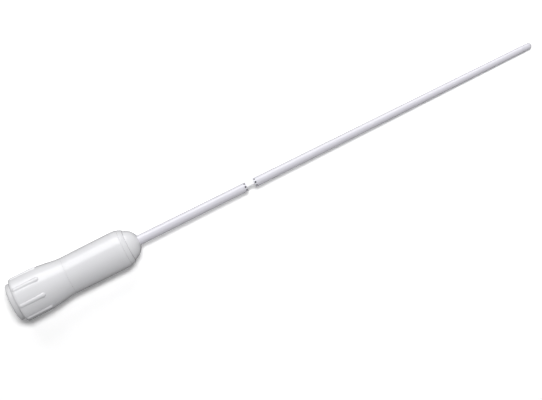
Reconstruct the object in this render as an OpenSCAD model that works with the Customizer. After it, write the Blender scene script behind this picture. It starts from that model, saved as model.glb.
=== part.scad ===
// Whip antenna in two plugged sections, on a moulded base with a hand-turned collar.
// The axis of the antenna is the X axis. X = 0 is the collar's lower edge, where the threaded
// socket begins, and +X points to the whip's tip. All sizes are in millimetres.

/* [Collar] */
// Radius of the collar where it is widest
collar_r = 21.4; // [20.8:0.1:23]
// Radius of the collar's lower edge
collar_edge_r = 20; // [19.6:0.1:20.4]
// Distance from the collar's lower edge to the seam at the waist
waist_x = 52; // [50:0.5:54]
// Number of finger ribs around the collar
rib_count = 8; // [6:1:12]
// Width of a finger rib at its foot
rib_w = 3.6; // [2.8:0.1:4.4]
// Height of a finger rib above the collar where it is widest
rib_h = 0.8; // [0.5:0.1:1.2]
// Distance from the collar's lower edge to the far end of a rib
rib_end_x = 28; // [20:0.5:32]
// Turn of the first rib from straight up
rib_turn = -28; // [-45:1:45]

/* [Socket] */
// Radius of the mounting thread, whose nominal diameter is one inch
thread_r = 12.7; // [12.2:0.1:13]
// Length of the threaded wall
thread_len = 20; // [16:0.5:20]
// Outer radius of the threaded insert
insert_r = 15.5; // [15:0.1:16]
// Outer radius of the seal ring
seal_r = 17.9; // [17:0.1:18.4]
// Distance that the seal ring stands out of the collar
seal_len = 5.5; // [4:0.1:6.5]
// Radius of the aerial socket's threaded shell
aerial_r = 4; // [3.5:0.05:4.5]

/* [Barrel and nose] */
// Radius of the base at the waist seam
waist_r = 17.9; // [17.5:0.1:18.1]
// Radius of the barrel where its shoulder begins
barrel_r = 18.2; // [18.1:0.1:19]
// Distance from the collar's lower edge to the start of the shoulder
shoulder_x = 103; // [101:0.5:104]
// Radius of the arc that the shoulder follows
shoulder_arc_r = 21.2; // [20:0.1:24]
// Distance from the collar's lower edge to the nose ring
nose_ring_x = 109; // [108:0.1:110]
// Distance from the collar's lower edge to the dome
dome_x = 113.5; // [113:0.1:114]
// Radius of the ball that the dome is part of
dome_r = 14.8; // [14.4:0.1:15.2]
// Radius of the bore that runs through the barrel
barrel_bore_r = 14.2; // [14:0.1:14.4]

/* [Whip] */
// Radius of the whip where it enters the nose
whip_root_r = 4.65; // [4.5:0.05:4.8]
// Radius of the whip at its plug joint
whip_joint_r = 4.25; // [4.1:0.05:4.4]
// Radius of the whip at its tip
whip_tip_r = 2.95; // [2.8:0.05:3.4]
// Distance from the collar's lower edge to the end of the lower section
lower_end_x = 234.9; // [200:0.1:260]
// Gap between the two sections with the joint drawn apart
joint_gap = 7.4; // [2:0.1:12]
// Distance from the collar's lower edge to the tip
tip_x = 527; // [420:1:640]
// Radius of the whip's bore at the joint
whip_bore_r = 2.6; // [2.5:0.05:2.8]
// Radius of the spigot that joins the two sections
spigot_r = 1.5; // [1.3:0.05:1.7]
// Number of staking holes around each facing end
stake_count = 8; // [6:1:8]
// Radius of a staking hole
stake_r = 0.85; // [0.6:0.05:0.9]

/* [Hidden] */

round_facets = 96;
small_facets = 24;
screw_facets = 32;
arc_steps = 8;
running_gap = 0.05;   // radial gap of a shaft that turns or slides in its hole
seat_gap = 0.05;      // radial gap of a piece that sits still in its seat
face_gap = 0.1;       // gap between two faces that turn past each other
cut = 1;              // how far a cutting solid runs past what it cuts

// Collar and what it turns on
insert_step = 0.9;        // width of the step that the insert rests on
pocket_r = insert_r - insert_step;
web_x = 29;
rib_start_x = 0.6;
stem_r = 11.5;
stem_bore_r = 8.5;
stem_end_x = 21;
stem_web_x = 31;
stem_web_t = 4;
stem_plug_len = 10;
ring_groove_r = 10.5;
ring_groove_x = 25.5;
ring_t = 1.6;
ring_outer_r = 13.6;
ring_split_w = 4;
washer_outer_r = 14;
o_ring_section_r = 0.9;
stem_o_ring_x = 39;
stem_o_ring_groove_w = 2;

// Barrel and nose
nose_skirt_x = 101;
nose_ring_bore_r = 12.6;
dome_skirt_x = 95.2;
dome_pocket_r = 9.9;
dome_rise = 3.5;          // from the ball's centre to the dome's seam
dome_centre_x = dome_x - dome_rise;
nose_o_ring_x = 106;
nose_o_ring_section_r = 0.7;
nose_o_ring_groove_w = 1.6;
nose_seam = 0.1;          // open line between the nose ring and the dome

// Whip root and the parts inside the base
ferrule_x = 92;
ferrule_r = 9.8;
ferrule_flange_t = 3;
ferrule_end_x = 118;
whip_start_x = 97.2;
conductor_r = 0.7;
grub_x = 101;
grub_r = 1.5;
former_x = 62.4;
former_end_x = 91.8;
former_flange_t = 1.8;
former_r = 8;
former_bore_r = 3;
wire_turns = 14;
wire_r = 0.75;
wire_pitch = 1.4;
aerial_recess = 0.5;      // from the stem's face to the shell's
aerial_x = stem_end_x + aerial_recess;
aerial_bore_r = 2.6;
aerial_body_r = 4.8;      // plain body between the shell's thread and its flange
aerial_thread_gap = 0.5;  // bare length between the stem's web and the shell's thread
aerial_body_x = stem_web_x - aerial_thread_gap;
aerial_flange_w = 2;      // how far the flange stands out from the body
aerial_flange_t = 2;
contact_r = 1;
tail_r = 0.6;
tail_len = 3;
contact_end_x = 41.5;     // shoulder that the contact's tail starts from
contact_bare = 1;         // how far that shoulder stands out of the insulator
board_size = [20, 12, 1.6];
board_gap = 0.2;          // between the contact's shoulder and the board
board_x = contact_end_x + board_gap;
capacitor_r = 3;
capacitor_len = 3;
capacitor_in = 9.8;       // from the board's start to the capacitor's middle
lead_r = 0.5;
lead_on_board = 2.2;      // how much of the lead lies over the board
lead_in_former = 3;       // how far the board's lead runs into the former
lead_out_former = 6;      // how far the ferrule's lead starts inside the former

// Joint between the two sections
upper_x = lower_end_x + joint_gap;
sleeve_recess = 0.6;
sleeve_lower_len = 22;
spigot_seat = 18;
spigot_in_upper = 19.7;
sleeve_end_t = 3;
spigot_end_x = upper_x + spigot_in_upper;
spigot_end_gap = 1;       // left beyond the spigot with the joint closed
blind_x = spigot_end_x + joint_gap + spigot_end_gap;
sleeve_upper_end_x = blind_x + sleeve_end_t;
narrow_bore_r = 1.4;
cap_len = 9;
cap_x = tip_x - cap_len;
cap_shank_len = 9;
cap_gap = 1;              // between the conductor and the tip cap's shank
stake_lower_edge = 1.25;  // from the lower section's end to its staking holes
stake_upper_edge = 1.55;  // from the upper section's end to its staking holes
stake_lower_x = lower_end_x - stake_lower_edge;
stake_upper_x = upper_x + stake_upper_edge;

// Radius of the shoulder's arc at a distance along the axis.
function shoulder_r(x) = barrel_r - shoulder_arc_r + sqrt(pow(shoulder_arc_r, 2) - pow(x - shoulder_x, 2));

// Points [x, r] along the shoulder from x0 to x1.
function shoulder(x0, x1) = [
    for (i = [0 : arc_steps]) let (x = x0 + (x1 - x0) * i / arc_steps) [x, shoulder_r(x)]
];

// Radius of the collar, which narrows to the waist in one smooth wave.
function collar_wave(x) = waist_r + (collar_r - waist_r) * (1 + cos(180 * pow(x / waist_x, 2))) / 2;

// Radius of the whip's upper section, which tapers to the tip.
function upper_r(x) = whip_joint_r + (whip_tip_r - whip_joint_r) * (x - upper_x) / (tip_x - upper_x);

// Points [x, r] on a circle about [cx, cr], from one angle to another.
function arc(cx, cr, radius, from, to) = [
    for (i = [0 : arc_steps]) let (a = from + (to - from) * i / arc_steps)
        [cx + radius * cos(a), cr + radius * sin(a)]
];

// Turns an outline of [x, r] points about the X axis.
module turned(outline) {
    rotate([0, 90, 0])
        rotate_extrude($fn = round_facets)
            polygon([for (p = outline) [p[1], p[0]]]);
}

// A solid rod along the X axis.
module rod(x0, x1, radius) {
    translate([x0, 0, 0])
        rotate([0, 90, 0])
            cylinder(h = x1 - x0, r = radius, $fn = round_facets);
}

// A tube along the X axis.
module tube(x0, x1, outer, inner) {
    difference() {
        rod(x0, x1, outer);
        rod(x0 - cut, x1 + cut, inner);
    }
}

// A ring of round section about the X axis.
module o_ring(x, centre_r, section_r) {
    translate([x, 0, 0])
        rotate([0, 90, 0])
            rotate_extrude($fn = round_facets)
                translate([centre_r, 0]) circle(r = section_r, $fn = small_facets);
}

// Copies of its children, evenly spaced about the X axis.
module around(count, turn = 0) {
    for (i = [0 : count - 1])
        rotate([turn + 360 * i / count, 0, 0]) children();
}

// One finger rib, pointing straight up: a round bar with ball ends, sunk into the collar.
module rib() {
    bar_r = (pow(rib_w / 2, 2) + pow(rib_h, 2)) / (2 * rib_h);
    start_x = rib_start_x + bar_r;
    end_x = rib_end_x - bar_r;
    translate([0, 0, collar_r + rib_h - bar_r])
        rotate([0, 90, 0]) rotate_extrude($fn = round_facets / 2) intersection() {
            union() {
                translate([0, start_x]) circle(r = bar_r, $fn = round_facets / 2);
                translate([0, end_x]) circle(r = bar_r, $fn = round_facets / 2);
                translate([0, start_x]) square([bar_r, end_x - start_x]);
            }
            square([bar_r + cut, rib_end_x]);
        }
}

// Small round holes around one end of a section, into its bore.
module stake_holes(x) {
    around(stake_count)
        translate([x, 0, 0])
            cylinder(h = whip_root_r + cut, r = stake_r, $fn = small_facets);
}

module seal_ring() {
    corner_r = 2.6;
    corner_draft = 0.5;
    mouth_w = 0.8;
    thread_clear = 0.4;
    bore_r = thread_r + thread_clear;
    color("#c8c9cc") turned(concat(
        [[0, bore_r], [0, seal_r]],
        arc(-seal_len + corner_r + corner_draft, seal_r - corner_r, corner_r, 90, 180),
        [[-seal_len, bore_r + mouth_w], [-seal_len, bore_r]]
    ));
}

module thread_insert() {
    color("#c9b06a") tube(0, thread_len, insert_r, thread_r);
}

module twist_collar() {
    lip_len = 3;
    lip_steps = 4;
    top_x = waist_x - face_gap;
    wave_steps = 16;
    wave_x0 = 6;
    color("#f2f2f4") difference() {
        union() {
            turned(concat(
                [[0, 0], [0, collar_edge_r]],
                [for (i = [1 : lip_steps]) let (a = 90 * i / lip_steps)
                    [lip_len * (1 - cos(a)), collar_edge_r + (collar_r - collar_edge_r) * sin(a)]],
                [for (i = [0 : wave_steps]) let (x = wave_x0 + (top_x - wave_x0) * i / wave_steps)
                    [x, collar_wave(x)]],
                [[top_x, 0]]
            ));
            around(rib_count, rib_turn) rib();
        }
        rod(-cut, thread_len, insert_r);
        rod(0, web_x, pocket_r);
        rod(0, waist_x + cut, stem_r + running_gap);
    }
}

module stem() {
    plug_x = waist_x + stem_plug_len;
    color("#e8e8ea") difference() {
        union() {
            rod(stem_end_x, waist_x, stem_r);
            rod(waist_x, plug_x, barrel_bore_r - seat_gap);
        }
        rod(stem_end_x - cut, stem_web_x, stem_bore_r);
        rod(stem_end_x, plug_x, aerial_body_r + seat_gap);
        rod(stem_web_x + stem_web_t, plug_x + cut, stem_bore_r);
        tube(ring_groove_x, ring_groove_x + ring_t, stem_r + cut, ring_groove_r);
        tube(stem_o_ring_x - stem_o_ring_groove_w / 2, stem_o_ring_x + stem_o_ring_groove_w / 2,
             stem_r + cut, stem_r - 2 * o_ring_section_r);
    }
}

module retaining_ring() {
    color("#b9bcc0") difference() {
        tube(ring_groove_x, ring_groove_x + ring_t, ring_outer_r, ring_groove_r);
        translate([ring_groove_x - cut, -ring_split_w / 2, 0])
            cube([ring_t + 2 * cut, ring_split_w, ring_outer_r + cut]);
    }
}

module thrust_washer() {
    color("#f4f4ef") tube(ring_groove_x + ring_t, web_x - face_gap / 2, washer_outer_r, stem_r + seat_gap);
}

module stem_o_ring() {
    color("#1d1d1f") o_ring(stem_o_ring_x, stem_r - o_ring_section_r, o_ring_section_r);
}

module aerial_shell() {
    flange_x = stem_web_x + stem_web_t;
    color("#cfcfcb") difference() {
        union() {
            rod(aerial_x, aerial_body_x, aerial_r);
            rod(aerial_body_x, flange_x, aerial_body_r);
            rod(flange_x, flange_x + aerial_flange_t, aerial_body_r + aerial_flange_w);
        }
        rod(aerial_x - cut, flange_x + aerial_flange_t + cut, aerial_bore_r);
    }
}

module aerial_insulator() {
    recess = 1.5;
    color("#f5f2e8") tube(aerial_x + recess, contact_end_x - contact_bare, aerial_bore_r, contact_r);
}

module aerial_contact() {
    mouth_in = 1;
    mouth_x = aerial_x + mouth_in;
    split_len = 5;
    split_w = 0.3;
    finger_t = 0.4;
    color("#d8b45a") difference() {
        rod(mouth_x, contact_end_x, contact_r);
        rod(mouth_x - cut, mouth_x + split_len, contact_r - finger_t);
        around(4, 45) translate([mouth_x - cut, -split_w / 2, 0])
            cube([split_len, split_w, contact_r + cut]);
    }
    color("#d8b45a") rod(contact_end_x, contact_end_x + tail_len, tail_r);
}

module match_board() {
    color("#2f6b46") translate([board_x, -board_size[1] / 2, -tail_r - board_size[2]]) cube(board_size);
}

module match_capacitor() {
    color("#b07840") translate([board_x + capacitor_in, 0, -tail_r])
        cylinder(h = capacitor_len, r = capacitor_r, $fn = round_facets);
}

module coil_former() {
    flange_r = barrel_bore_r - seat_gap;
    color("#e9e4d6") difference() {
        union() {
            rod(former_x, former_end_x, former_r);
            rod(former_x, former_x + former_flange_t, flange_r);
            rod(former_end_x - former_flange_t, former_end_x, flange_r);
        }
        rod(former_x - cut, former_end_x + cut, former_bore_r);
    }
}

module coil_winding() {
    first_x = (former_x + former_end_x - (wire_turns - 1) * wire_pitch) / 2;
    color("#b8683c") rotate([0, 90, 0]) rotate_extrude($fn = round_facets)
        intersection() {
            for (i = [0 : wire_turns - 1])
                translate([former_r + wire_r, first_x + i * wire_pitch])
                    circle(r = wire_r, $fn = small_facets);
            translate([former_r, former_x]) square([4 * wire_r, former_end_x - former_x]);
        }
}

module feed_wires() {
    color("#b8683c") {
        rod(board_x + board_size[0] - lead_on_board, former_x + lead_in_former, lead_r);
        rod(former_end_x - lead_out_former, ferrule_x, lead_r);
    }
}

module barrel() {
    color("#f2f2f4") difference() {
        turned(concat(
            [[waist_x, 0], [waist_x, waist_r], [shoulder_x, barrel_r]],
            shoulder(shoulder_x, nose_ring_x),
            [[nose_ring_x, 0]]
        ));
        rod(waist_x - cut, nose_ring_x + cut, barrel_bore_r);
    }
}

module nose_ring() {
    end_x = dome_x - nose_seam;
    color("#efeff1") difference() {
        union() {
            turned(concat([[nose_ring_x, 0]], shoulder(nose_ring_x, end_x), [[end_x, 0]]));
            rod(nose_skirt_x, nose_ring_x, barrel_bore_r - seat_gap);
        }
        rod(nose_skirt_x - cut, dome_x + cut, nose_ring_bore_r);
    }
}

module nose_o_ring() {
    color("#1d1d1f") o_ring(nose_o_ring_x, nose_ring_bore_r - seat_gap - nose_o_ring_section_r,
                            nose_o_ring_section_r);
}

module nose_dome() {
    skirt_r = nose_ring_bore_r - seat_gap;
    color("#f2f2f4") difference() {
        union() {
            rotate([0, 90, 0]) rotate_extrude($fn = round_facets) intersection() {
                translate([0, dome_centre_x]) circle(r = dome_r, $fn = round_facets);
                translate([0, dome_x]) square([dome_r + cut, dome_r + cut]);
            }
            rod(dome_skirt_x, dome_x, skirt_r);
        }
        rod(dome_skirt_x - cut, ferrule_end_x, dome_pocket_r);
        rod(ferrule_end_x - cut, dome_x + dome_r, whip_root_r + seat_gap);
        tube(nose_o_ring_x - nose_o_ring_groove_w / 2, nose_o_ring_x + nose_o_ring_groove_w / 2,
             skirt_r + cut, skirt_r - 2 * nose_o_ring_section_r);
    }
}

module root_ferrule() {
    color("#c9b06a") difference() {
        union() {
            rod(ferrule_x, ferrule_x + ferrule_flange_t, barrel_bore_r - seat_gap);
            rod(ferrule_x + ferrule_flange_t, ferrule_end_x, ferrule_r);
        }
        rod(ferrule_x - cut, whip_start_x, conductor_r + seat_gap);
        rod(whip_start_x, ferrule_end_x + cut, whip_root_r + seat_gap);
        around(2, 90) translate([grub_x, 0, 0]) cylinder(h = ferrule_r + cut, r = grub_r, $fn = screw_facets);
    }
}

module grub_screws() {
    length = ferrule_r - whip_root_r - 2 * seat_gap;
    socket_depth = 2;
    socket_r = 0.85;
    color("#8f9296") around(2, 90)
        translate([grub_x, 0, whip_root_r + seat_gap]) difference() {
            cylinder(h = length, r = grub_r, $fn = screw_facets);
            translate([0, 0, length - socket_depth])
                cylinder(h = socket_depth + cut, r = socket_r, $fn = 6);
        }
}

module whip_lower() {
    straight_end_x = dome_centre_x + dome_r;
    color("#ececf2") difference() {
        turned([
            [whip_start_x, 0], [whip_start_x, whip_root_r], [straight_end_x, whip_root_r],
            [lower_end_x, whip_joint_r], [lower_end_x, 0],
        ]);
        rod(whip_start_x - cut, lower_end_x + cut, whip_bore_r);
        stake_holes(stake_lower_x);
    }
}

module conductor_lower() {
    recess = 0.2;
    color("#b8683c") rod(ferrule_x + recess, lower_end_x - sleeve_lower_len, conductor_r);
}

module sleeve_lower() {
    start_x = lower_end_x - sleeve_lower_len;
    color("#2b2b2e") difference() {
        rod(start_x, lower_end_x - sleeve_recess, whip_bore_r);
        rod(lower_end_x - spigot_seat, lower_end_x + cut, spigot_r);
    }
}

module spigot() {
    point_len = 1;
    point_in = 0.6;
    color("#dcdde0") turned([
        [lower_end_x - spigot_seat, 0], [lower_end_x - spigot_seat, spigot_r],
        [spigot_end_x - point_len, spigot_r], [spigot_end_x, spigot_r - point_in], [spigot_end_x, 0],
    ]);
}

module whip_upper() {
    color("#ececf2") difference() {
        turned([
            [upper_x, 0], [upper_x, whip_joint_r], [cap_x, upper_r(cap_x)], [cap_x, 0],
        ]);
        rod(upper_x - cut, sleeve_upper_end_x, whip_bore_r);
        rod(upper_x, cap_x + cut, narrow_bore_r);
        stake_holes(stake_upper_x);
    }
}

module sleeve_upper() {
    start_x = upper_x + sleeve_recess;
    color("#2b2b2e") difference() {
        rod(start_x, sleeve_upper_end_x, whip_bore_r);
        rod(start_x - cut, blind_x, spigot_r + running_gap);
    }
}

module conductor_upper() {
    color("#b8683c") rod(sleeve_upper_end_x, cap_x - cap_shank_len - cap_gap, conductor_r);
}

module tip_cap() {
    start_r = upper_r(cap_x);
    nose_step = 0.15;
    nose_r = whip_tip_r - nose_step;
    color("#ececf2") union() {
        turned(concat(
            [[cap_x, 0], [cap_x, start_r]],
            arc(tip_x - nose_r, 0, nose_r, 90, 0)
        ));
        rod(cap_x - cap_shank_len, cap_x, narrow_bore_r - seat_gap);
    }
}

seal_ring();
thread_insert();
twist_collar();
stem();
retaining_ring();
thrust_washer();
stem_o_ring();
aerial_shell();
aerial_insulator();
aerial_contact();
match_board();
match_capacitor();
coil_former();
coil_winding();
feed_wires();
barrel();
nose_ring();
nose_o_ring();
nose_dome();
root_ferrule();
grub_screws();
whip_lower();
conductor_lower();
sleeve_lower();
spigot();
whip_upper();
conductor_upper();
sleeve_upper();
tip_cap();
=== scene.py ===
"""Whip antenna on a hand-turned collar: the visible pieces, their finishes, and a plain studio."""

import logging
import math
from dataclasses import dataclass
from enum import Enum
from typing import Callable, Optional, Sequence

import bmesh
import bpy
import numpy as np
from mathutils import Matrix, Vector


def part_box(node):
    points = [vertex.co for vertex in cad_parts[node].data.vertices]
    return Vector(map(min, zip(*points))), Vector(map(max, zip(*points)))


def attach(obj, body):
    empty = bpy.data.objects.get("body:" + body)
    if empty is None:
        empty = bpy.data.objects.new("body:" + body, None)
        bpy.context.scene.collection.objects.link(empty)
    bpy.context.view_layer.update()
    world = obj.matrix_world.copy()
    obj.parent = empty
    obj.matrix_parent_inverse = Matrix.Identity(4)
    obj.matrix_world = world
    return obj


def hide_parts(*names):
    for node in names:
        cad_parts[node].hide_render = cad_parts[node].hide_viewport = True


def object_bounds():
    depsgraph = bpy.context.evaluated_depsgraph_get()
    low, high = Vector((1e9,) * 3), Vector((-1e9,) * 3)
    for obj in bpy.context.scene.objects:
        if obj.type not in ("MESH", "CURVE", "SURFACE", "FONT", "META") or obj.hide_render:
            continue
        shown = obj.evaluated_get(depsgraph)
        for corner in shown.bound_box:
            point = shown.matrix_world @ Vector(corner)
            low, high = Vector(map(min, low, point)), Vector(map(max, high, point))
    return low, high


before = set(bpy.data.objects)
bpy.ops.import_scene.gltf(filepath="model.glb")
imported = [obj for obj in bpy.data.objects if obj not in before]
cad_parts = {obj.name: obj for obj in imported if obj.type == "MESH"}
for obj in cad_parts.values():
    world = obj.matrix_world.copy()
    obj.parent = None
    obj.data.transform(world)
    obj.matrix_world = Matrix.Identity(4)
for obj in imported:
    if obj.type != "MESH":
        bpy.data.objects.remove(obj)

CAD_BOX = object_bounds()
MM = 0.001
# A shell's end face is drawn this far past its solid's, so that its seam shows as a hairline.
SEAM_CLOSED = 0.08 * MM
# Edges that turn more than this stay sharp, in degrees.
SHARP_DEG = 35.0
# Mesh points closer together than this are one point.
SAME_POINT = 1e-7
# Points this close to a wall's radius lie on the wall.
ON_WALL = 1e-6
# Roughness of the glossy skin that a coat gives.
SKIN_ROUGHNESS = 0.16
# The least roughness that a finish may reach.
SMOOTHEST = 0.02
LOG = logging.getLogger("antenna")

Outline = list[tuple[float, float]]
Shaper = Callable[[np.ndarray, np.ndarray, np.ndarray], np.ndarray]


# ---------------------------------------------------------------- sizes read from the frame


def span(node: str) -> tuple[float, float]:
    """Returns where a CAD node starts and ends along the antenna's axis, in metres."""
    low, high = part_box(node)
    return low.x, high.x


def radius(node: str) -> float:
    """Returns a CAD node's largest radius about the antenna's axis, in metres."""
    low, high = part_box(node)
    return (high.y - low.y) / 2


# ---------------------------------------------------------------- outlines and turned meshes


def rounded(corners: Sequence[tuple[float, float, float]], steps: int = 5) -> Outline:
    """Rounds the corners of a closed outline.

    Args:
        corners: (distance along the axis, radius, rounding) of each corner, in metres.
        steps: how many straight pieces make one rounding.

    Returns:
        The outline's points.
    """
    points: Outline = []
    share_of_side = 0.49
    for i, (x, r, rounding) in enumerate(corners):
        here = np.array([x, r])
        if rounding <= 0:
            points.append((x, r))
            continue
        before = np.array(corners[i - 1][:2]) - here
        after = np.array(corners[(i + 1) % len(corners)][:2]) - here
        start = here + before * min(share_of_side, rounding / np.linalg.norm(before))
        end = here + after * min(share_of_side, rounding / np.linalg.norm(after))
        for step in range(steps + 1):
            u = step / steps
            p = (1 - u) ** 2 * start + 2 * u * (1 - u) * here + u ** 2 * end
            points.append((float(p[0]), float(p[1])))
    return points


def even_angles(sides: int) -> np.ndarray:
    """Returns evenly spaced angles about the axis, in radians."""
    return np.arange(sides) * (2 * math.pi / sides)


def mesh_object(name: str, vertices: np.ndarray, faces: Sequence[Sequence[int]],
                sharp_deg: float = SHARP_DEG) -> bpy.types.Object:
    """Makes a smooth closed mesh object at the origin with outward faces.

    Args:
        name: the piece's name.
        vertices: one row of x, y, z for each vertex, in metres.
        faces: the vertices of each face.
        sharp_deg: edges that turn more than this stay sharp.

    Returns:
        The new object, linked to the scene.
    """
    mesh = bpy.data.meshes.new(name)
    mesh.from_pydata(vertices.tolist(), [], faces)
    shell = bmesh.new()
    shell.from_mesh(mesh)
    bmesh.ops.remove_doubles(shell, verts=shell.verts, dist=SAME_POINT)
    bmesh.ops.recalc_face_normals(shell, faces=shell.faces)
    shell.to_mesh(mesh)
    shell.free()
    mesh.polygons.foreach_set("use_smooth", [True] * len(mesh.polygons))
    mesh.set_sharp_from_angle(angle=math.radians(sharp_deg))
    made = bpy.data.objects.new(name, mesh)
    bpy.context.scene.collection.objects.link(made)
    return made


def turned(name: str, outline: Outline, angles: np.ndarray,
           shaper: Optional[Shaper] = None, sharp_deg: float = SHARP_DEG) -> bpy.types.Object:
    """Turns a closed outline about the antenna's axis.

    Args:
        name: the piece's name.
        outline: closed loop of (distance along the axis, radius), in metres. Points on the axis close a pole.
        angles: where the outline is repeated around the axis, in radians, from straight up towards -Y.
        shaper: gives each point's radius from its distance along the axis, radius and angle.
        sharp_deg: edges that turn more than this stay sharp.

    Returns:
        The new object.
    """
    along = np.array([p[0] for p in outline])
    radii = np.array([p[1] for p in outline])
    x = np.repeat(along[:, None], len(angles), axis=1)
    r = np.repeat(radii[:, None], len(angles), axis=1)
    a = np.repeat(angles[None, :], len(outline), axis=0)
    if shaper is not None:
        r = np.where(r > 0, shaper(x, r, a), 0.0)
    vertices = np.stack([x, -r * np.sin(a), r * np.cos(a)], axis=-1).reshape(-1, 3)
    rows, sides = len(outline), len(angles)
    faces = []
    for i in range(rows):
        below, above = i * sides, ((i + 1) % rows) * sides
        if radii[i] == 0 and radii[(i + 1) % rows] == 0:
            continue
        for j in range(sides):
            k = (j + 1) % sides
            if radii[i] == 0:
                faces.append((below, above + k, above + j))
            elif radii[(i + 1) % rows] == 0:
                faces.append((below + j, below + k, above))
            else:
                faces.append((below + j, below + k, above + k, above + j))
    return mesh_object(name, vertices, faces, sharp_deg)


def between(start: float, end: float, count: int) -> list[float]:
    """Returns evenly spaced values from start to end, both included."""
    return [float(v) for v in np.linspace(start, end, count)]


def bored(name: str, piece: bpy.types.Object, cutter: bpy.types.Object) -> bpy.types.Object:
    """Cuts one mesh out of another and returns the result as a plain piece.

    Args:
        name: the finished piece's name.
        piece: the mesh that is cut.
        cutter: the mesh that cuts it. Both are removed.

    Returns:
        The cut piece.
    """
    cut = piece.modifiers.new("bore", "BOOLEAN")
    cut.operation = "DIFFERENCE"
    cut.solver = "EXACT"
    cut.object = cutter
    made = plain_copy(name, piece)
    bpy.data.objects.remove(cutter)
    return made


def plain_copy(name: str, source: bpy.types.Object) -> bpy.types.Object:
    """Turns an object with modifiers into a plain mesh object, and removes the original.

    Args:
        name: the new object's name.
        source: the object whose modifiers are evaluated.

    Returns:
        The plain object, linked to the scene.
    """
    bpy.context.view_layer.update()
    evaluated = source.evaluated_get(bpy.context.evaluated_depsgraph_get())
    mesh = bpy.data.meshes.new_from_object(evaluated)
    source.modifiers.clear()
    bpy.data.objects.remove(source)
    mesh.name = name
    made = bpy.data.objects.new(name, mesh)
    bpy.context.scene.collection.objects.link(made)
    mesh.set_sharp_from_angle(angle=math.radians(SHARP_DEG))
    return made


# ---------------------------------------------------------------- finishes


def linear(colour: str) -> tuple[float, float, float, float]:
    """Turns an sRGB hex colour, such as #E6E6E8, into linear red, green, blue and alpha."""
    channels = [int(colour[i:i + 2], 16) / 255 for i in (1, 3, 5)]
    red, green, blue = [c / 12.92 if c <= 0.04045 else ((c + 0.055) / 1.055) ** 2.4 for c in channels]
    return (red, green, blue, 1.0)


def add_node(tree: bpy.types.NodeTree, kind: str, settings: Optional[dict] = None,
             inputs: Optional[dict] = None) -> bpy.types.Node:
    """Adds a node to a tree.

    Args:
        tree: the tree it goes in.
        kind: the node's type name.
        settings: the node's own properties.
        inputs: what each input socket holds, by name or number: a value, or another node's output socket.

    Returns:
        The new node.
    """
    node = tree.nodes.new(kind)
    for name, value in (settings or {}).items():
        setattr(node, name, value)
    for name, value in (inputs or {}).items():
        if isinstance(value, bpy.types.NodeSocket):
            tree.links.new(value, node.inputs[name])
        else:
            node.inputs[name].default_value = value
    return node


class Grain(Enum):
    """How a surface was made, which sets the pattern that it carries."""

    MOULDED = "moulded"
    COATED = "coated"
    TURNED = "turned"
    DRAWN = "drawn"


@dataclass(frozen=True)
class Finish:
    """One material: what it is made of and how its surface was made.

    Colours are sRGB hex. grain_mm is the size of one feature of the pattern, relief_mm its height.
    """

    name: str
    colour: str
    shade: str
    roughness: float
    grain: Grain = Grain.MOULDED
    metallic: float = 0.0
    ior: float = 1.5
    coat: float = 0.0
    grain_mm: float = 1.5
    relief_mm: float = 0.004
    cloud_mm: float = 30.0
    roughness_swing: float = 0.04

    def pattern(self, tree: bpy.types.NodeTree) -> bpy.types.NodeSocket:
        """Adds the nodes of the surface's own pattern.

        Args:
            tree: the material's node tree.

        Returns:
            The socket that gives the pattern's height, from 0 to 1.
        """
        place = add_node(tree, "ShaderNodeTexCoord").outputs["Object"]
        per_metre = 1 / (self.grain_mm * MM)
        if self.grain is Grain.TURNED:
            bands_scale = per_metre * math.pi / 10
            return add_node(tree, "ShaderNodeTexWave",
                            {"wave_type": "BANDS", "bands_direction": "X", "wave_profile": "SIN"},
                            {"Vector": place, "Scale": bands_scale, "Distortion": 0.4,
                             "Detail": 2.0, "Detail Scale": 0.6}).outputs["Fac"]
        stretch = {Grain.COATED: 0.08, Grain.DRAWN: 0.03}.get(self.grain, 1.0)
        drawn_out = add_node(tree, "ShaderNodeMapping", None, {"Vector": place, "Scale": (stretch, 1.0, 1.0)})
        return add_node(tree, "ShaderNodeTexNoise", None,
                        {"Vector": drawn_out.outputs["Vector"], "Scale": per_metre, "Detail": 3.0,
                         "Roughness": 0.5}).outputs["Fac"]

    def build(self) -> bpy.types.Material:
        """Makes the material, with its colour, roughness and relief from nodes."""
        material = bpy.data.materials.new(self.name)
        material.use_nodes = True
        material.diffuse_color = linear(self.colour)
        tree = material.node_tree
        tree.nodes.clear()
        place = add_node(tree, "ShaderNodeTexCoord").outputs["Object"]
        cloud = add_node(tree, "ShaderNodeTexNoise", None,
                         {"Vector": place, "Scale": 1 / (self.cloud_mm * MM), "Detail": 2.0})
        factor, first_colour, second_colour, mixed_colour = 0, 6, 7, 2
        colour = add_node(tree, "ShaderNodeMix", {"data_type": "RGBA"},
                          {factor: cloud.outputs["Fac"], first_colour: linear(self.colour),
                           second_colour: linear(self.shade)})
        height = self.pattern(tree)
        swing = self.roughness_swing
        rough = add_node(tree, "ShaderNodeMapRange", None,
                         {"Value": height, "To Min": max(SMOOTHEST, self.roughness - swing),
                          "To Max": self.roughness + swing})
        bump = add_node(tree, "ShaderNodeBump", None,
                        {"Height": height, "Strength": 1.0, "Distance": self.relief_mm * MM})
        shader = add_node(tree, "ShaderNodeBsdfPrincipled", None,
                          {"Base Color": colour.outputs[mixed_colour], "Roughness": rough.outputs["Result"],
                           "Normal": bump.outputs["Normal"], "Metallic": self.metallic, "IOR": self.ior,
                           "Coat Weight": self.coat, "Coat Roughness": SKIN_ROUGHNESS})
        add_node(tree, "ShaderNodeOutputMaterial", None, {"Surface": shader.outputs["BSDF"]})
        return material


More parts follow.
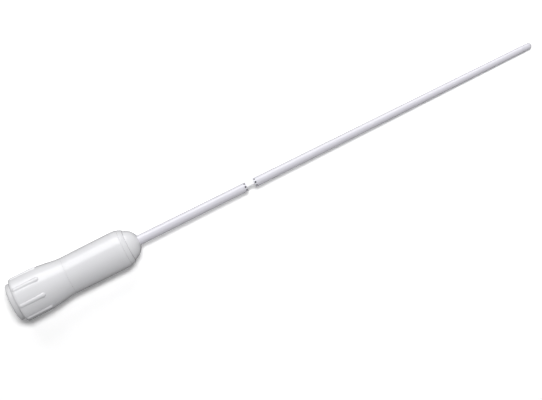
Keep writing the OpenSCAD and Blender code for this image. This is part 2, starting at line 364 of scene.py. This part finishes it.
# Moulded acetal: bright white with a softly glossy skin and the faintest orange peel.
SHELL = Finish("acetal_moulded_white", "#DEDEE0", "#DBDBDE", 0.24, ior=1.6, coat=1.0, grain_mm=2.2,
               relief_mm=0.002, cloud_mm=45, roughness_swing=0.03)
# The nose ring is the same resin from another tool, a trace duller.
RING = Finish("acetal_moulded_white_satin", "#DDDDDF", "#DADADD", 0.26, ior=1.6, coat=1.0, grain_mm=1.8,
              relief_mm=0.002, roughness_swing=0.03)
# Gloss gelcoat over pultruded fibreglass: cool white with long faint streaks along the whip.
WHIP = Finish("fibreglass_gelcoat_white", "#DBDAE1", "#D6D5DD", 0.18, Grain.COATED, ior=1.6, coat=1.0,
              grain_mm=1.2, relief_mm=0.003, cloud_mm=18)
# Thermoplastic elastomer: light grey, soft sheen, fine grain.
SEAL = Finish("elastomer_moulded_grey", "#CECED0", "#C9C9CB", 0.34, coat=0.3, grain_mm=0.6, relief_mm=0.006)
# Natural nylon: creamy white, waxy.
NYLON = Finish("nylon_moulded_natural", "#E2DFD3", "#D9D5C6", 0.38, grain_mm=1.0, relief_mm=0.006)
# Free-cutting brass: warm yellow with fine lathe rings, drawn four times coarser than the real feed.
BRASS = Finish("brass_turned", "#C8A45A", "#B99248", 0.24, Grain.TURNED, 1.0, grain_mm=0.5,
               relief_mm=0.003, roughness_swing=0.06)
# Bright nickel over brass: pale warm grey, smooth.
NICKEL = Finish("nickel_plated_turned", "#CFCDC6", "#C4C2BA", 0.2, Grain.TURNED, 1.0, grain_mm=0.5,
                relief_mm=0.0015, roughness_swing=0.04)
# Matt tin over steel rod: its fine crystals scatter light, so it is shaded like a pale paint.
TIN = Finish("tin_plated_matt", "#F6F6F7", "#F1F1F3", 0.5, Grain.DRAWN, grain_mm=0.4, relief_mm=0.002)
# Spring steel wire and screws: dark oiled grey.
STEEL = Finish("spring_steel_oiled", "#7D8084", "#6A6D72", 0.33, Grain.DRAWN, 1.0, grain_mm=0.3)
# Blackened brass: near black, barely shiny.
BLACKENED = Finish("brass_blackened", "#2A2A2C", "#202022", 0.45, Grain.TURNED, 1.0, grain_mm=0.6)
# Nitrile rubber: black, matt.
NITRILE = Finish("nitrile_moulded_black", "#1C1C1E", "#252528", 0.55, grain_mm=0.4, relief_mm=0.008)
# Black beads, wet-looking: their black is painted shade, standing for the shade inside the staking holes.
PAINTED_HOLE_SHADE = Finish("black_painted_hole_shade", "#1F1F22", "#2B2B2F", 0.18, grain_mm=0.5, cloud_mm=2)
# Enamelled copper wire: orange brown, glossy.
COPPER = Finish("copper_wire_drawn", "#B8663A", "#A7572D", 0.28, Grain.DRAWN, 1.0, grain_mm=0.2)
# Glass-epoxy board with green lacquer.
BOARD = Finish("glass_epoxy_board_lacquered", "#2C6A45", "#245A3A", 0.32, coat=0.3, grain_mm=0.4)
# Dipped ceramic capacitor: ochre, satin.
CERAMIC = Finish("ceramic_capacitor_dipped", "#B8803E", "#AA7434", 0.36, coat=0.2, grain_mm=0.8)

FINISHES = (SHELL, RING, WHIP, SEAL, NYLON, BRASS, NICKEL, TIN, STEEL, BLACKENED, NITRILE, PAINTED_HOLE_SHADE, COPPER,
            BOARD, CERAMIC)


class Paints:
    """Builds each finish once and puts it on pieces."""

    def __init__(self) -> None:
        """Builds every finish."""
        self.made = {finish.name: finish.build() for finish in FINISHES}

    def material(self, finish: Finish) -> bpy.types.Material:
        """Returns the material of a finish."""
        return self.made[finish.name]

    def on_piece(self, piece: bpy.types.Object, finish: Finish) -> bpy.types.Object:
        """Gives a new piece its finish and returns it."""
        piece.data.materials.clear()
        piece.data.materials.append(self.material(finish))
        return piece

    def on_node(self, node: str, finish: Finish) -> None:
        """Gives a carried-over CAD node its finish."""
        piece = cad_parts[node]
        if not piece.material_slots:
            piece.data.materials.append(self.material(finish))
        for place in piece.material_slots:
            place.material = self.material(finish)
        LOG.info("dressed node %s in %s", node, finish.name)


def settle(piece: bpy.types.Object, body: str, slot: str, *nodes: str) -> bpy.types.Object:
    """Ties a finished piece to its body and hides the CAD nodes that it stands for.

    Args:
        piece: the finished piece.
        body: the CAD body that it rides on.
        slot: the record's material slot; not used.
        nodes: the CAD nodes that it replaces.

    Returns:
        The piece.
    """
    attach(piece, body)
    if nodes:
        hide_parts(*nodes)
    LOG.info("built %s on %s", piece.name, body)
    return piece


# ---------------------------------------------------------------- threads


@dataclass(frozen=True)
class Thread:
    """A screw thread on a round wall.

    pitch and depth are in metres, and inward is True for a socket's thread.
    """

    pitch: float
    depth: float
    start: float
    end: float
    inward: bool

    def shaper(self, wall_r: float) -> Shaper:
        """Returns the function that forms the thread from points that lie on the wall.

        Args:
            wall_r: the wall's nominal radius, in metres.

        Returns:
            The function, which only ever makes a point's radius smaller.
        """
        runout = 1.2 * self.pitch
        peak, slope, flat = 1.15, 2.3, 0.9

        def cut(x: np.ndarray, r: np.ndarray, a: np.ndarray) -> np.ndarray:
            """Returns each point's radius."""
            phase = (x / self.pitch - a / (2 * math.pi)) % 1.0
            ridge = np.clip(peak - slope * np.abs(phase - 0.5), 0.0, flat) / flat
            fade = np.clip(np.minimum(x - self.start, self.end - x) / runout, 0.0, 1.0)
            on_wall = np.abs(r - wall_r) < ON_WALL
            cut_share = ridge * fade if self.inward else (1.0 - ridge) * fade
            return np.where(on_wall, r - self.depth * cut_share, r)

        return cut

    def stations(self) -> list[float]:
        """Returns the distances along the axis that the thread's rows need."""
        rows_per_turn = 12
        count = int((self.end - self.start) / self.pitch * rows_per_turn) + 1
        return between(self.start, self.end, count)


# ---------------------------------------------------------------- the collar


@dataclass
class Collar:
    """The hand-turned collar with its finger ribs, threaded insert and seal ring. Sizes are in metres."""

    paints: Paints
    ribs: int = 8
    rib_turn: float = math.radians(-28)
    rib_w: float = 3.6 * MM
    rib_h: float = 0.77 * MM
    rib_start: float = 0.6 * MM
    rib_end: float = 28.0 * MM
    full_r: float = 21.4 * MM
    edge_r: float = 20.0 * MM
    waist_r: float = 17.9 * MM
    wave_end: float = 52.0 * MM
    lip: float = 3.0 * MM
    seam_round: float = 0.2 * MM
    stem_hole_r: float = 11.6 * MM
    web_x: float = 29.0 * MM
    insert_r: float = 15.5 * MM
    insert_end: float = 20.0 * MM
    insert_step: float = 0.9 * MM
    thread_r: float = 12.7 * MM
    thread_pitch: float = 25.4 / 14 * MM
    thread_depth: float = 0.9 * MM

    def outer_r(self, x: float) -> float:
        """Returns the collar's outer radius at a distance along the axis."""
        share = (x / self.wave_end) ** 2
        return self.waist_r + (self.full_r - self.waist_r) * (1 + math.cos(math.pi * share)) / 2

    def side(self, start: float, end: float, rows: int) -> Outline:
        """Returns evenly spaced points along the collar's outside."""
        return [(x, self.outer_r(x)) for x in between(start, end, rows)]

    def rib_angles(self) -> np.ndarray:
        """Returns angles about the axis, close together across each rib."""
        half = self.rib_w / 2
        foot = 0.5 * MM
        clear = 1.2 * MM
        near = np.linspace(0, half + foot, 15)
        period = 2 * math.pi * self.full_r / self.ribs
        far = np.linspace(half + clear, period - half - clear, 10)
        steps = np.concatenate([near, far, period - near[:0:-1]])
        turns = [steps / self.full_r + i * 2 * math.pi / self.ribs for i in range(self.ribs)]
        return np.concatenate(turns) + self.rib_turn

    def raise_ribs(self, x: np.ndarray, r: np.ndarray, a: np.ndarray) -> np.ndarray:
        """Raises the finger ribs: straight round-topped bars with ball ends.

        Args:
            x: each point's distance along the axis.
            r: each point's radius before the ribs.
            a: each point's angle about the axis.

        Returns:
            Each point's radius with the ribs.
        """
        bar_r = ((self.rib_w / 2) ** 2 + self.rib_h ** 2) / (2 * self.rib_h)
        axis_r = self.full_r + self.rib_h - bar_r
        period = 2 * math.pi / self.ribs
        off = (a - self.rib_turn + period / 2) % period - period / 2
        past = np.maximum(np.maximum(x - (self.rib_end - bar_r), self.rib_start + bar_r - x), 0.0)
        square = bar_r ** 2 - (axis_r * np.sin(off)) ** 2 - past ** 2
        bar = np.where(square > 0, axis_r * np.cos(off) + np.sqrt(np.maximum(square, 0.0)), 0.0)
        inside_margin = 0.5 * MM
        on_outside = r > self.waist_r + inside_margin
        return np.where(on_outside, np.maximum(bar, r), r)

    def shell(self) -> bpy.types.Object:
        """Builds the collar's shell."""
        start, end = span("twist_collar")
        end += SEAM_CLOSED
        rim_x = end - 0.5 * MM
        edge_inner_r = self.edge_r - 0.3 * MM
        edge = [(self.lip * (1 - math.cos(u)), self.edge_r + (self.full_r - self.edge_r) * math.sin(u))
                for u in between(0.0, math.pi / 2, 14)]
        lower = self.side(self.lip + 0.4 * MM, self.rib_end - 3 * MM, 24)
        around_rib_end = self.side(self.rib_end - 2.8 * MM, self.rib_end + 0.6 * MM, 30)
        upper = self.side(self.rib_end + 1.2 * MM, rim_x, 40)
        top_r = self.outer_r(end)
        rim = rounded([(rim_x, top_r, 0.0), (end, top_r, self.seam_round), (end, self.stem_hole_r, 0.0)])[1:]
        pocket_r = self.insert_r - self.insert_step
        inner = [(self.web_x, self.stem_hole_r), (self.web_x, pocket_r), (self.insert_end, pocket_r),
                 (self.insert_end, self.insert_r), (start, self.insert_r), (start, edge_inner_r)]
        outline = edge + lower + around_rib_end + upper + rim + inner
        piece = turned("collar_shell", outline, self.rib_angles(), self.raise_ribs, sharp_deg=50)
        return settle(self.paints.on_piece(piece, SHELL), "collar", "white_shell", "twist_collar")

    def insert(self) -> bpy.types.Object:
        """Builds the brass insert with its mounting thread."""
        start, end = span("thread_insert")
        wall_r = self.thread_r
        outer_r = self.insert_r - 0.1 * MM
        lead_in, lead_out = 0.6 * MM, 0.4 * MM
        thread = Thread(self.thread_pitch, self.thread_depth, start + lead_in, end - lead_out, inward=True)
        bore = [(x, wall_r) for x in reversed(thread.stations())]
        outline = [(start, outer_r), (end, outer_r), (end, wall_r + lead_out)]
        outline += bore + [(start, wall_r + lead_in)]
        piece = turned("collar_thread_insert", outline, even_angles(120), thread.shaper(wall_r), sharp_deg=40)
        return settle(self.paints.on_piece(piece, BRASS), "collar", "brass", "thread_insert")

    def seal(self) -> bpy.types.Object:
        """Builds the grey seal ring, with a crowned face and two raised sealing lips."""
        start, end = span("seal_ring")
        outer = radius("seal_ring")
        bore = 13.1 * MM
        crown = 2.9 * MM
        crisp, lip_round, soft = 0.2 * MM, 0.25 * MM, 0.3 * MM
        outline = rounded([
            (end, bore, crisp),
            (end, outer, crisp),
            (start + 0.5 * MM, outer, crown),
            (start + 0.35 * MM, 16.0 * MM, soft),
            (start, 15.7 * MM, lip_round),
            (start, 15.0 * MM, lip_round),
            (start + 0.3 * MM, 14.7 * MM, crisp),
            (start, 14.4 * MM, crisp),
            (start, bore + soft, soft),
            (start + 0.6 * MM, bore, soft),
        ], steps=7)
        piece = turned("collar_seal_ring", outline, even_angles(144), sharp_deg=60)
        return settle(self.paints.on_piece(piece, SEAL), "collar", "grey_seal", "seal_ring")

    def build(self) -> None:
        """Builds and dresses every piece of the collar."""
        self.shell()
        self.insert()
        self.seal()


# ---------------------------------------------------------------- the base and its nose


@dataclass
class Base:
    """The barrel, its nose, the stem that carries the collar and the parts sealed inside.

    Sizes are in metres.
    """

    paints: Paints
    waist_r: float = 17.9 * MM
    barrel_r: float = 18.2 * MM
    shoulder_x: float = 103.0 * MM
    shoulder_arc_r: float = 21.2 * MM
    dome_r: float = 14.8 * MM
    bore_r: float = 14.2 * MM
    ring_bore_r: float = 12.6 * MM
    seat_gap: float = 0.05 * MM
    dome_rise: float = 3.5 * MM
    dome_pocket_r: float = 9.9 * MM
    ferrule_end: float = 118.0 * MM
    aerial_r: float = 4.0 * MM
    aerial_body_r: float = 4.8 * MM
    aerial_body_x: float = 30.5 * MM
    aerial_bore_r: float = 2.6 * MM
    former_r: float = 8.0 * MM
    wire_r: float = 0.75 * MM
    seam_round: float = 0.2 * MM
    edge: float = 0.35 * MM
    sides: int = 192

    def shoulder_r(self, x: float) -> float:
        """Returns the shoulder's radius at a distance along the axis."""
        drop = math.sqrt(self.shoulder_arc_r ** 2 - (x - self.shoulder_x) ** 2)
        return self.barrel_r - self.shoulder_arc_r + drop

    def barrel(self) -> bpy.types.Object:
        """Builds the barrel, which swells slightly and then turns in at its shoulder."""
        start, end = span("barrel")
        waist = rounded([(start, self.bore_r, 0.0), (start, self.waist_r, self.seam_round),
                         (start + 6 * MM, self.waist_r + 0.05 * MM, 0.0)])[:-1]
        length = self.shoulder_x - start
        swell = self.barrel_r - self.waist_r
        side = [(x, self.waist_r + swell * math.sin(math.pi / 2 * (x - start) / length))
                for x in between(start + 2 * MM, self.shoulder_x, 24)]
        shoulder = [(x, self.shoulder_r(x)) for x in between(self.shoulder_x + 0.5 * MM, end - self.edge, 14)]
        front = rounded([(end - self.edge, self.shoulder_r(end - self.edge), 0.0),
                         (end, self.shoulder_r(end), self.edge), (end, self.bore_r, 0.0)])[1:]
        piece = turned("base_barrel", waist + side + shoulder + front, even_angles(self.sides))
        return settle(self.paints.on_piece(piece, SHELL), "base", "white_shell", "barrel")

    def nose_ring(self) -> bpy.types.Object:
        """Builds the ring that holds the dome, with a fine chamfered joint line at each side."""
        face_x = span("barrel")[1]
        start, end = span("nose_ring")
        end += SEAM_CLOSED
        skirt_r = self.bore_r - self.seat_gap
        seat_x = face_x + 0.02 * MM
        chamfer = 0.3 * MM
        front_round = 0.6 * MM
        front_x = end - front_round
        band = [(x, self.shoulder_r(x)) for x in between(face_x + self.edge, front_x, 10)]
        outline = [(start, self.ring_bore_r), (start, skirt_r), (seat_x, skirt_r),
                   (seat_x, self.shoulder_r(face_x) - chamfer)]
        front = rounded([(front_x, self.shoulder_r(front_x), 0.0), (end, self.shoulder_r(end), front_round),
                         (end, self.ring_bore_r, 0.0)])[1:]
        outline += band + front
        piece = turned("base_nose_ring", outline, even_angles(self.sides))
        return settle(self.paints.on_piece(piece, RING), "base", "white_shell", "nose_ring")

    def dome(self) -> bpy.types.Object:
        """Builds the domed nose, blunt where the whip comes out."""
        start, end = span("nose_dome")
        ring_gap = 0.1 * MM
        face_x = span("nose_ring")[1] + ring_gap
        centre = face_x - self.dome_rise
        hole_r = radius("whip_lower") + self.seat_gap
        skirt_r = self.ring_bore_r - self.seat_gap
        blunt = 0.5 * MM
        first = math.acos(self.dome_rise / self.dome_r)
        last = math.asin((hole_r + blunt) / self.dome_r)
        cap = [(centre + self.dome_r * math.cos(u), self.dome_r * math.sin(u))
               for u in between(first, last, 28)]
        foot_r = cap[0][1]
        lip_round = 0.45 * MM
        lip = rounded([(*cap[-1], 0.0), (end, hole_r, lip_round), (end - 2 * MM, hole_r, 0.0)])[1:]
        inner = [(self.ferrule_end, hole_r), (self.ferrule_end, self.dome_pocket_r),
                 (start, self.dome_pocket_r), (start, skirt_r), (face_x, skirt_r),
                 (face_x, foot_r - 0.25 * MM), (face_x + 0.12 * MM, foot_r - 0.05 * MM)]
        piece = turned("base_nose_dome", cap[1:] + lip + inner, even_angles(self.sides))
        return settle(self.paints.on_piece(piece, SHELL), "base", "white_shell", "nose_dome")

    def aerial_shell(self) -> bpy.types.Object:
        """Builds the aerial socket's shell with its coupling thread."""
        start, end = span("aerial_shell")
        shell_r, bore = self.aerial_r, self.aerial_bore_r
        body_r, body_x = self.aerial_body_r, self.aerial_body_x
        flange_r = radius("aerial_shell")
        flange_x = end - 2 * MM
        pitch, depth = 0.75 * MM, 0.42 * MM
        lead, undercut, chamfer = 0.5 * MM, 0.6 * MM, 0.2 * MM
        thread = Thread(pitch, depth, start + lead, body_x - undercut, inward=False)
        outline = [(start, bore + 0.25 * MM), (start, shell_r - lead)]
        outline += [(x, shell_r) for x in thread.stations()]
        outline += [(body_x, shell_r), (body_x, body_r - chamfer), (body_x + chamfer, body_r),
                    (flange_x, body_r), (flange_x, flange_r), (end, flange_r),
                    (end, bore), (start + 0.3 * MM, bore)]
        piece = turned("base_aerial_shell", outline, even_angles(96), thread.shaper(shell_r), sharp_deg=40)
        return settle(self.paints.on_piece(piece, NICKEL), "base", "nickel", "aerial_shell")

    def winding(self) -> bpy.types.Object:
        """Winds the loading coil as one wire, with Geometry Nodes."""
        start, end = span("coil_winding")
        loose = 0.07 * MM
        wire_r = self.wire_r - loose
        turns = 13
        tree = bpy.data.node_groups.new("wind_coil", "GeometryNodeTree")
        tree.interface.new_socket("Geometry", in_out="OUTPUT", socket_type="NodeSocketGeometry")
        sizes = {"Turns": turns, "Length": end - start - 2 * wire_r,
                 "Coil Radius": self.former_r + self.wire_r, "Wire Radius": wire_r}
        sockets = {name: tree.interface.new_socket(name, in_out="INPUT", socket_type="NodeSocketFloat")
                   for name in sizes}
        given = add_node(tree, "NodeGroupInput")
        spiral = add_node(tree, "GeometryNodeCurveSpiral", None,
                          {"Resolution": 48, "Rotations": given.outputs["Turns"],
                           "Start Radius": given.outputs["Coil Radius"],
                           "End Radius": given.outputs["Coil Radius"],
                           "Height": given.outputs["Length"]})
        wire = add_node(tree, "GeometryNodeCurvePrimitiveCircle", None,
                        {"Resolution": 10, "Radius": given.outputs["Wire Radius"]})
        swept = add_node(tree, "GeometryNodeCurveToMesh", None,
                         {"Curve": spiral.outputs["Curve"], "Profile Curve": wire.outputs["Curve"],
                          "Fill Caps": True})
        laid = add_node(tree, "GeometryNodeTransform", None,
                        {"Geometry": swept.outputs["Mesh"], "Translation": (start + wire_r, 0.0, 0.0),
                         "Rotation": (0.0, math.pi / 2, 0.0)})
        piece = run_nodes("base_coil_winding", tree, laid, sizes, sockets, self.paints.material(COPPER))
        return settle(piece, "base", "copper", "coil_winding")

    def build(self) -> None:
        """Builds and dresses every piece of the base."""
        self.barrel()
        self.nose_ring()
        self.dome()
        self.aerial_shell()
        self.winding()
        carried = {"stem": NYLON, "retaining_ring": STEEL, "thrust_washer": NYLON, "stem_o_ring": NITRILE,
                   "aerial_insulator": NYLON, "aerial_contact": BRASS, "match_board": BOARD,
                   "match_capacitor": CERAMIC, "coil_former": NYLON, "feed_wires": COPPER,
                   "nose_o_ring": NITRILE, "root_ferrule": BRASS, "grub_screws": STEEL}
        for node, finish in carried.items():
            self.paints.on_node(node, finish)


def run_nodes(name: str, tree: bpy.types.NodeTree, last: bpy.types.Node, sizes: dict, sockets: dict,
              material: bpy.types.Material) -> bpy.types.Object:
    """Ends a Geometry Nodes tree, runs it once and turns what it makes into a plain mesh.

    Args:
        name: the finished piece's name.
        tree: the tree, with its output socket and named inputs.
        last: the node whose first output is the finished geometry.
        sizes: the value of each named input.
        sockets: the interface socket of each named input.
        material: what the piece is made of.

    Returns:
        The plain piece.
    """
    whole = add_node(tree, "GeometryNodeRealizeInstances", None, {"Geometry": last.outputs[0]})
    smooth = add_node(tree, "GeometryNodeSetShadeSmooth", None, {"Geometry": whole.outputs[0]})
    dressed = add_node(tree, "GeometryNodeSetMaterial", None,
                       {"Geometry": smooth.outputs[0], "Material": material})
    add_node(tree, "NodeGroupOutput", None, {"Geometry": dressed.outputs[0]})
    holder = bpy.data.objects.new(name + "_nodes", bpy.data.meshes.new(name + "_nodes"))
    bpy.context.scene.collection.objects.link(holder)
    run = holder.modifiers.new("build", "NODES")
    run.node_group = tree
    for title, value in sizes.items():
        run[sockets[title].identifier] = value
    return plain_copy(name, holder)


# ---------------------------------------------------------------- the whip


@dataclass
class WhipSection:
    """One length of the whip: its tapered tube and its staked end. Sizes are in metres."""

    paints: Paints
    name: str
    body: str
    node: str
    stake_x: float
    joint_r: float = 4.25 * MM
    tip_r: float = 2.95 * MM
    bore_r: float = 2.6 * MM
    narrow_r: float = 1.4 * MM
    straight_end: float = 124.8 * MM
    wide_bore_end: float = 273.5 * MM
    rim: float = 0.35 * MM
    rim_round: float = 0.3 * MM
    mouth_round: float = 0.15 * MM
    stake_r: float = 0.85 * MM
    stakes: int = 8
    sides: int = 96

    def profile(self) -> Outline:
        """Returns the tube's closed outline."""
        start, end = span(self.node)
        if self.node == "whip_lower":
            straight = self.straight_end
            root_r = radius(self.node)
            outer = [(start, root_r), (straight, root_r)]
            outer += [(x, root_r + (self.joint_r - root_r) * (x - straight) / (end - straight))
                      for x in between(straight + 1 * MM, end - self.rim, 40)]
            mouth = rounded([(end - self.rim, self.joint_r, 0.0), (end, self.joint_r, self.rim_round),
                             (end, self.bore_r, self.mouth_round), (end - 3 * MM, self.bore_r, 0.0)])[1:]
            return outer + mouth + [(start, self.bore_r)]
        whole = CAD_BOX[1].x - start
        mouth = rounded([(end, self.narrow_r, 0.0), (self.wide_bore_end, self.narrow_r, 0.0),
                         (self.wide_bore_end, self.bore_r, 0.0), (start, self.bore_r, self.mouth_round),
                         (start, self.joint_r, self.rim_round), (start + self.rim, self.joint_r, 0.0)])
        return mouth + [(x, self.joint_r + (self.tip_r - self.joint_r) * (x - start) / whole)
                        for x in between(start + 1 * MM, end, 70)]

    def tube(self) -> bpy.types.Object:
        """Builds the tube and drills its staking holes."""
        blank = turned(self.name + "_blank", self.profile(), even_angles(self.sides))
        drill_middle_r, drill_len = 3.6 * MM, 3.2 * MM
        drill = bmesh.new()
        for i in range(self.stakes):
            turn = Matrix.Rotation(2 * math.pi * i / self.stakes, 4, "X")
            place = turn @ Matrix.Translation(Vector((self.stake_x, 0.0, drill_middle_r)))
            bmesh.ops.create_cone(drill, cap_ends=True, segments=20, radius1=self.stake_r,
                                  radius2=self.stake_r, depth=drill_len, matrix=place)
        mesh = bpy.data.meshes.new(self.name + "_drill")
        drill.to_mesh(mesh)
        drill.free()
        cutter = bpy.data.objects.new(self.name + "_drill", mesh)
        bpy.context.scene.collection.objects.link(cutter)
        piece = bored(self.name + "_tube", blank, cutter)
        return settle(self.paints.on_piece(piece, WHIP), self.body, "white_whip", self.node)

    def plugs(self) -> bpy.types.Object:
        """Fills the staking holes with black beads, placed with Geometry Nodes; their black is painted shade
        of the holes.
        """
        tree = bpy.data.node_groups.new("ring_of_beads", "GeometryNodeTree")
        tree.interface.new_socket("Geometry", in_out="OUTPUT", socket_type="NodeSocketGeometry")
        slack = 0.03 * MM
        bead_r = self.stake_r - slack
        bead_top_r = 4.35 * MM
        sizes = {"Ring Radius": bead_top_r - bead_r, "Bead Radius": bead_r, "Along": self.stake_x}
        sockets = {name: tree.interface.new_socket(name, in_out="INPUT", socket_type="NodeSocketFloat")
                   for name in sizes}
        given = add_node(tree, "NodeGroupInput")
        ring = add_node(tree, "GeometryNodeMeshCircle", None,
                        {"Vertices": self.stakes, "Radius": given.outputs["Ring Radius"]})
        laid = add_node(tree, "GeometryNodeTransform", None,
                        {"Geometry": ring.outputs["Mesh"], "Rotation": (0.0, math.pi / 2, 0.0)})
        bead = add_node(tree, "GeometryNodeMeshIcoSphere", None,
                        {"Radius": given.outputs["Bead Radius"], "Subdivisions": 3})
        spread = add_node(tree, "GeometryNodeInstanceOnPoints", None,
                          {"Points": laid.outputs["Geometry"], "Instance": bead.outputs["Mesh"]})
        shift = add_node(tree, "ShaderNodeCombineXYZ", None, {"X": given.outputs["Along"]})
        moved = add_node(tree, "GeometryNodeTransform", None,
                         {"Geometry": spread.outputs["Instances"], "Translation": shift.outputs["Vector"]})
        # The beads' black is painted shade, which stands for the shade inside the staking holes.
        painted_hole_shade = self.paints.material(PAINTED_HOLE_SHADE)
        piece = run_nodes(self.name + "_stake_beads", tree, moved, sizes, sockets, painted_hole_shade)
        return settle(piece, self.body, "dark_brass")

    def build(self) -> None:
        """Builds and dresses the section."""
        self.tube()
        self.plugs()


@dataclass
class Whip:
    """Both sections of the whip, the plug joint between them and the tip."""

    paints: Paints

    def tip(self) -> bpy.types.Object:
        """Builds the rounded tip cap with a fine joint line."""
        start, end = span("tip_cap")
        face_x = span("whip_upper")[1]
        begin_r = 2.98 * MM
        nose_r = 2.8 * MM
        shank_r = 1.3 * MM
        seat_x = face_x + 0.02 * MM
        nose = [(end - nose_r + nose_r * math.cos(u), nose_r * math.sin(u))
                for u in between(math.pi / 2, 0.0, 14)]
        foot = [(start, 0.0), (start, shank_r), (seat_x, shank_r), (seat_x, begin_r - 0.2 * MM),
                (face_x + 0.25 * MM, begin_r)]
        outline = foot + nose[:-1] + [(end, 0.0)]
        piece = turned("whip_tip_cap", outline, even_angles(64))
        return settle(self.paints.on_piece(piece, WHIP), "upper_whip", "white_whip", "tip_cap")

    def build(self) -> None:
        """Builds and dresses the whole whip."""
        lower_stakes = span("whip_lower")[1] - 1.25 * MM
        upper_stakes = span("whip_upper")[0] + 1.55 * MM
        WhipSection(self.paints, "whip_lower", "base", "whip_lower", lower_stakes).build()
        WhipSection(self.paints, "whip_upper", "upper_whip", "whip_upper", upper_stakes).build()
        self.tip()
        for node, finish in {"conductor_lower": COPPER, "conductor_upper": COPPER, "sleeve_lower": BLACKENED,
                             "sleeve_upper": BLACKENED, "spigot": TIN}.items():
            self.paints.on_node(node, finish)


# ---------------------------------------------------------------- the studio


@dataclass
class Studio:
    """A white table under soft light, and a camera looking straight down on it. Sizes are in metres."""

    view_width: float = 498.64 * MM
    distance: float = 1.668
    roll: float = math.radians(26.5)
    aim: tuple[float, float] = (0.2492, -0.0211)

    def floor(self) -> None:
        """Lays the table against the collar's and the barrel's undersides, which tilts it by two degrees."""
        low_x, high_x = 8 * MM, 103 * MM
        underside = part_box("twist_collar")[0].z
        rise = (-underside - radius("barrel")) / (high_x - low_x)
        half = 6.0
        mid_x = 0.25
        air = 0.1 * MM
        points = np.array([[mid_x + sx * half, sy * half,
                            underside - air + rise * (mid_x + sx * half - low_x)]
                           for sx, sy in ((-1, -1), (1, -1), (1, 1), (-1, 1))])
        table = mesh_object("table_top", points, [(0, 1, 2, 3)])
        material = bpy.data.materials.new("table_white_paper")
        material.use_nodes = True
        tree = material.node_tree
        shader = tree.nodes["Principled BSDF"]
        shader.inputs["Roughness"].default_value = 0.9
        shader.inputs["Specular IOR Level"].default_value = 0.1
        shader.inputs["Base Color"].default_value = (0.96, 0.96, 0.96, 1.0)
        shader.inputs["Emission Color"].default_value = (1.0, 1.0, 1.0, 1.0)
        shader.inputs["Emission Strength"].default_value = 0.12
        table.data.materials.append(material)
        table.visible_glossy = False

    def softbox(self, name: str, tilt_deg: float, turn_deg: float, distance: float, size: tuple[float, float],
                radiance: float, mirrored: bool = True) -> None:
        """Hangs one soft light over the antenna's middle.

        Args:
            name: the light's name.
            tilt_deg: its angle from straight up.
            turn_deg: where it leans to, from +Y towards +X.
            distance: how far it hangs from the point that it lights.
            size: its length and its height.
            radiance: how bright its face is.
            mirrored: whether glossy surfaces show it. A cross-polarised light isn't mirrored.
        """
        light = bpy.data.lights.new(name, "AREA")
        light.shape = "RECTANGLE"
        light.size, light.size_y = size
        light.energy = radiance * math.pi * size[0] * size[1]
        lamp = bpy.data.objects.new(name, light)
        bpy.context.scene.collection.objects.link(lamp)
        tilt = math.radians(tilt_deg)
        turn = math.radians(turn_deg)
        back = Vector((math.sin(tilt) * math.sin(turn), math.sin(tilt) * math.cos(turn), math.cos(tilt)))
        side = Vector((math.cos(turn), -math.sin(turn), 0.0))
        facing = Matrix((side, back.cross(side), back)).transposed().to_4x4()
        lamp.matrix_world = Matrix.Translation(Vector((*self.aim, 0.0)) + back * distance) @ facing
        lamp.visible_camera = False
        lamp.visible_glossy = mirrored

    def lights(self) -> None:
        """Sets the sky and the softboxes."""
        world = bpy.data.worlds.new("studio")
        bpy.context.scene.world = world
        world.use_nodes = True
        sky = world.node_tree.nodes["Background"]
        sky.inputs["Color"].default_value = linear("#F4F4F7")
        sky.inputs["Strength"].default_value = 0.1
        self.softbox("overhead", 12.0, math.degrees(self.roll), 2.4, (0.7, 0.46), 47.0, mirrored=False)
        self.softbox("side", 60.0, 0.0, 1.3, (1.15, 1.15), 1.85)

    def camera(self) -> None:
        """Places the camera straight above, turned so that the whip rises to the right."""
        lens = bpy.data.cameras.new("camera")
        half_width = self.view_width / 2
        lens.sensor_width = 36.0
        lens.lens = lens.sensor_width / 2 / (half_width / self.distance)
        viewer = bpy.data.objects.new("camera", lens)
        bpy.context.scene.collection.objects.link(viewer)
        right = Vector((math.cos(self.roll), -math.sin(self.roll), 0.0))
        up = Vector((math.sin(self.roll), math.cos(self.roll), 0.0))
        turn = Matrix((right, up, right.cross(up))).transposed().to_4x4()
        viewer.matrix_world = Matrix.Translation(Vector((*self.aim, self.distance))) @ turn
        bpy.context.scene.camera = viewer

    def build(self) -> None:
        """Builds the table, the lights and the camera."""
        self.floor()
        self.lights()
        self.camera()
        bpy.context.scene.view_settings.view_transform = "Standard"


def main() -> None:
    """Builds the antenna piece by piece, then the studio."""
    logging.basicConfig(level=logging.INFO, format="%(name)s: %(message)s")
    paints = Paints()
    Studio().build()
    Collar(paints).build()
    Base(paints).build()
    Whip(paints).build()


if __name__ == "__main__":
    main()
